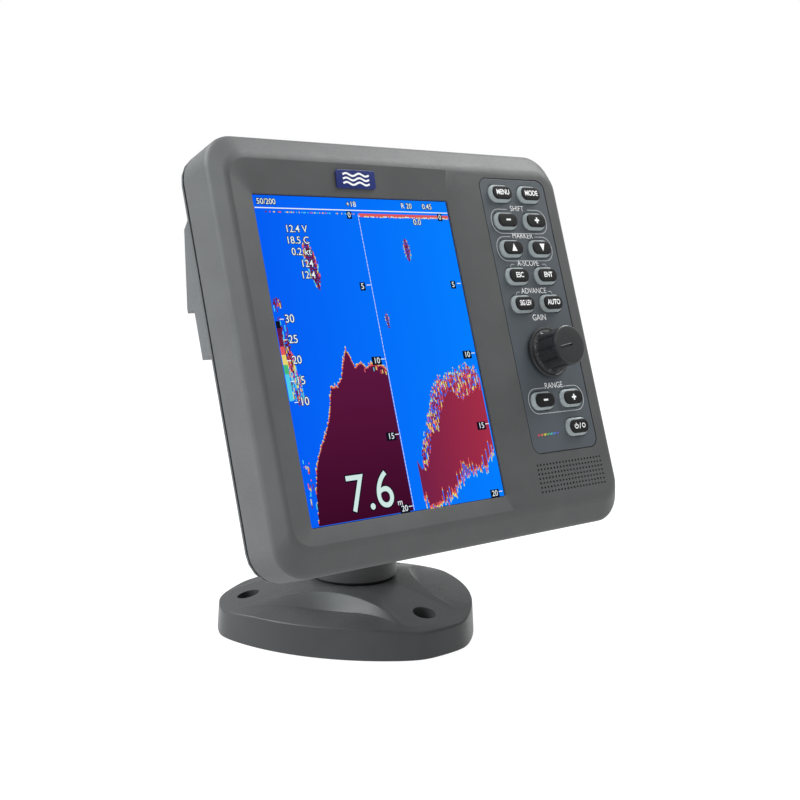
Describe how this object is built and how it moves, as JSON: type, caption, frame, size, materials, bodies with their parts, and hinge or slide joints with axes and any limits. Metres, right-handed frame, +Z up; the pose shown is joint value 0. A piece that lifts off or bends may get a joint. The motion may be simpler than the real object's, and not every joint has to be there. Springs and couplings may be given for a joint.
{
  "type": "fish finder",
  "caption": "Portrait sonar display with a sloped screen frame, side keypad, gain knob and speaker grille, on a tilting and swivelling three-lobed base.",
  "frame": {"origin": "centre of the base's underside, on the floor under the swivel axis", "axes": "+Z up along the swivel axis, the screen faces -Y and +X is to the viewer's right of the screen; the display leans back 17.7 degrees at rest"},
  "size_m": [0.202, 0.1527, 0.2376],
  "materials": {
    "case": "fine moulded grain",
    "base": "fine moulded grain",
    "casting": "satin powder coat",
    "rubber": "matte",
    "window": "clear, lightly coated",
    "screen": "lit display",
    "backlight": "white light guide in a tray",
    "overlay": "printed film",
    "key": "matte silicone",
    "knob": "satin",
    "speaker": "matte",
    "badge": "glossy",
    "socket": "satin",
    "nylon": "natural",
    "ferrite": "dark ferrite",
    "circuit_board": "solder mask",
    "steel": "bright",
    "aluminium": "bare"
  },
  "bodies": {
    "base": {"swivel_base": "base", "base_pad": "rubber", "swivel_washer": "nylon"},
    "post": {"swivel_post": "casting", "retaining_washer": "steel", "swivel_screw": "steel"},
    "display": {"front_bezel": "case", "rear_cover": "case", "case_gasket": "rubber", "screen_window": "window", "window_seal": "rubber", "lcd_panel": "screen", "lcd_backlight": "backlight", "keypad_overlay": "overlay", "key_board": "circuit_board", "gain_encoder": "steel", "encoder_nut": "steel", "main_board": "circuit_board", "power_board": "circuit_board", "transmit_transformer": "ferrite", "heat_sink": "aluminium", "speaker": "speaker", "badge_plate": "badge", "mount_bracket": "casting", "tilt_bolt": "steel", "tilt_washer_left": "nylon", "tilt_washer_right": "nylon", "power_socket": "socket", "power_socket_nut": "steel", "transducer_socket": "socket", "transducer_socket_nut": "steel", "position_socket": "socket", "position_socket_nut": "steel", "case_screw_1": "steel", "case_screw_2": "steel", "case_screw_3": "steel", "case_screw_4": "steel", "case_screw_5": "steel", "case_screw_6": "steel", "bracket_screw_1": "steel", "bracket_screw_2": "steel", "bracket_screw_3": "steel", "bracket_screw_4": "steel"},
    "gain_control": {"gain_knob": "knob", "gain_shaft": "steel"},
    "tilt_clamp": {"tilt_knob": "knob"},
    "menu_key_cap": {"menu_key": "key"},
    "mode_key_cap": {"mode_key": "key"},
    "shift_minus_key_cap": {"shift_minus_key": "key"},
    "shift_plus_key_cap": {"shift_plus_key": "key"},
    "marker_up_key_cap": {"marker_up_key": "key"},
    "marker_down_key_cap": {"marker_down_key": "key"},
    "escape_key_cap": {"escape_key": "key"},
    "enter_key_cap": {"enter_key": "key"},
    "level_key_cap": {"level_key": "key"},
    "auto_key_cap": {"auto_key": "key"},
    "range_minus_key_cap": {"range_minus_key": "key"},
    "range_plus_key_cap": {"range_plus_key": "key"},
    "power_key_cap": {"power_key": "key"}
  },
  "joints": [
    {"name": "swivel", "type": "hinge", "parent": "base", "child": "post", "pos_m": [0, 0, 0.03], "axis": [0, 0, 1], "range_deg": [-180, 180]},
    {"name": "tilt", "type": "hinge", "parent": "post", "child": "display", "pos_m": [0, -0.0122, 0.0981], "axis": [1, 0, 0], "range_deg": [-30, 20]},
    {"name": "gain_turn", "type": "hinge", "parent": "display", "child": "gain_control", "pos_m": [0.0661, -0.07029, 0.13973], "axis": [0, -0.9527, 0.304], "range_deg": [-260, 40]},
    {"name": "tilt_clamp_turn", "type": "hinge", "parent": "display", "child": "tilt_clamp", "pos_m": [0, -0.0122, 0.0981], "axis": [1, 0, 0], "range_deg": [0, 360]},
    {"name": "menu_key_press", "type": "slide", "parent": "display", "child": "menu_key_cap", "axis": [0, 0.9527, -0.304], "range_m": [0, 0.001], "stiffness_N_per_m": 1200, "springref_m": -0.0005},
    {"name": "mode_key_press", "type": "slide", "parent": "display", "child": "mode_key_cap", "axis": [0, 0.9527, -0.304], "range_m": [0, 0.001], "stiffness_N_per_m": 1200, "springref_m": -0.0005},
    {"name": "shift_minus_key_press", "type": "slide", "parent": "display", "child": "shift_minus_key_cap", "axis": [0, 0.9527, -0.304], "range_m": [0, 0.001], "stiffness_N_per_m": 1200, "springref_m": -0.0005},
    {"name": "shift_plus_key_press", "type": "slide", "parent": "display", "child": "shift_plus_key_cap", "axis": [0, 0.9527, -0.304], "range_m": [0, 0.001], "stiffness_N_per_m": 1200, "springref_m": -0.0005},
    {"name": "marker_up_key_press", "type": "slide", "parent": "display", "child": "marker_up_key_cap", "axis": [0, 0.9527, -0.304], "range_m": [0, 0.001], "stiffness_N_per_m": 1200, "springref_m": -0.0005},
    {"name": "marker_down_key_press", "type": "slide", "parent": "display", "child": "marker_down_key_cap", "axis": [0, 0.9527, -0.304], "range_m": [0, 0.001], "stiffness_N_per_m": 1200, "springref_m": -0.0005},
    {"name": "escape_key_press", "type": "slide", "parent": "display", "child": "escape_key_cap", "axis": [0, 0.9527, -0.304], "range_m": [0, 0.001], "stiffness_N_per_m": 1200, "springref_m": -0.0005},
    {"name": "enter_key_press", "type": "slide", "parent": "display", "child": "enter_key_cap", "axis": [0, 0.9527, -0.304], "range_m": [0, 0.001], "stiffness_N_per_m": 1200, "springref_m": -0.0005},
    {"name": "level_key_press", "type": "slide", "parent": "display", "child": "level_key_cap", "axis": [0, 0.9527, -0.304], "range_m": [0, 0.001], "stiffness_N_per_m": 1200, "springref_m": -0.0005},
    {"name": "auto_key_press", "type": "slide", "parent": "display", "child": "auto_key_cap", "axis": [0, 0.9527, -0.304], "range_m": [0, 0.001], "stiffness_N_per_m": 1200, "springref_m": -0.0005},
    {"name": "range_minus_key_press", "type": "slide", "parent": "display", "child": "range_minus_key_cap", "axis": [0, 0.9527, -0.304], "range_m": [0, 0.001], "stiffness_N_per_m": 1200, "springref_m": -0.0005},
    {"name": "range_plus_key_press", "type": "slide", "parent": "display", "child": "range_plus_key_cap", "axis": [0, 0.9527, -0.304], "range_m": [0, 0.001], "stiffness_N_per_m": 1200, "springref_m": -0.0005},
    {"name": "power_key_press", "type": "slide", "parent": "display", "child": "power_key_cap", "axis": [0, 0.9527, -0.304], "range_m": [0, 0.001], "stiffness_N_per_m": 1200, "springref_m": -0.0005}
  ]
}
